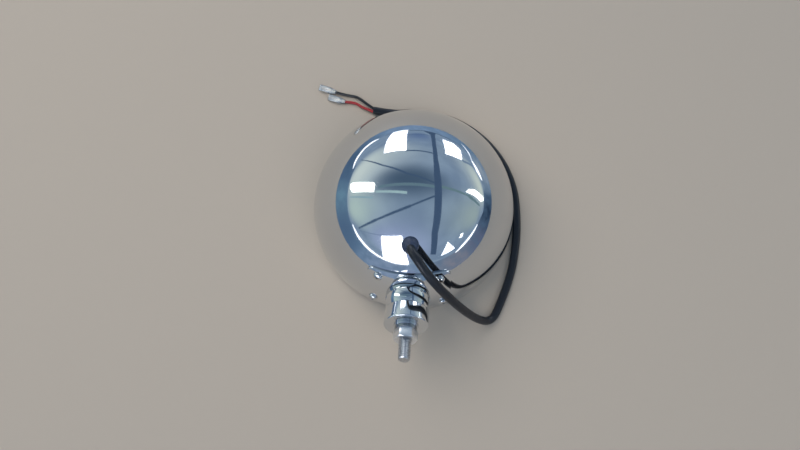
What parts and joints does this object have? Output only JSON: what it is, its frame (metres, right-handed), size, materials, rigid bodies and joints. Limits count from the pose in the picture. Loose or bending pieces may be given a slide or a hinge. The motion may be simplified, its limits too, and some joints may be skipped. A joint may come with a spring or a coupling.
{
  "type": "spotlight",
  "caption": "Round stainless spotlight with a ball swivel on a curved saddle plate, a threaded mounting stud and a free cable.",
  "frame": {"origin": "centre of the front ring's resting face", "axes": "+Z from the lens to the back of the bowl; -Y towards the swivel post, which rises 26.5 degrees from the ring's plane; +X completes the right hand"},
  "size_m": [0.1958, 0.2545, 0.1005],
  "materials": {
    "polished_stainless": "mirror polished",
    "stainless_steel": "plain",
    "thread_steel": "rolled thread",
    "spring_steel": "tempered",
    "reflector_mirror": "aluminised",
    "lens_glass": "clear",
    "quartz": "clear",
    "tungsten": "wound wire",
    "nickel_plate": "plated",
    "black_rubber": "moulded",
    "cable_jacket": "extruded, satin",
    "red_insulation": "extruded",
    "black_insulation": "extruded",
    "nylon_black": "moulded",
    "nylon_white": "moulded",
    "tinned_brass": "tin plated",
    "clear_sleeve": "clear moulded"
  },
  "bodies": {
    "lamp": {"bowl_shell": "polished_stainless", "bezel_ring": "polished_stainless", "bezel_screws": "stainless_steel", "bezel_nuts": "stainless_steel", "lens_gasket": "black_rubber", "lens_glass": "lens_glass", "reflector": "reflector_mirror", "bulb_holder": "nickel_plate", "bulb_base": "nickel_plate", "bulb_capsule": "quartz", "bulb_filament": "tungsten", "bulb_spring_clip": "spring_steel", "feed_connector": "nylon_white", "earth_tab": "tinned_brass", "lead_red": "red_insulation", "lead_black": "black_insulation", "saddle_plate": "polished_stainless", "saddle_gasket": "black_rubber", "backing_plate": "stainless_steel", "saddle_screws": "stainless_steel", "saddle_nuts": "stainless_steel", "swivel_boss": "polished_stainless", "cable_grommet": "black_rubber", "cable_tie": "nylon_black", "cable_stub": "cable_jacket", "cable_sheath": "cable_jacket", "wire_red": "red_insulation", "wire_black": "black_insulation", "terminal_red": "tinned_brass", "terminal_black": "tinned_brass", "sleeve_red": "clear_sleeve", "sleeve_black": "clear_sleeve"},
    "swivel": {"clamp_dish": "stainless_steel", "disc_spring": "spring_steel"},
    "base": {"mount_stud": "thread_steel", "base_cup": "polished_stainless", "flat_washer": "polished_stainless", "spring_washer": "spring_steel", "hex_nut": "polished_stainless"}
  },
  "joints": [
    {"name": "tilt", "type": "hinge", "parent": "lamp", "child": "swivel", "pos_m": [0, -0.08412, 0.05194], "axis": [1, 0, 0], "range_deg": [-15, 15]},
    {"name": "pan", "type": "hinge", "parent": "swivel", "child": "base", "pos_m": [0, -0.08412, 0.05194], "axis": [0, -0.8949, 0.4462], "continuous": true}
  ]
}
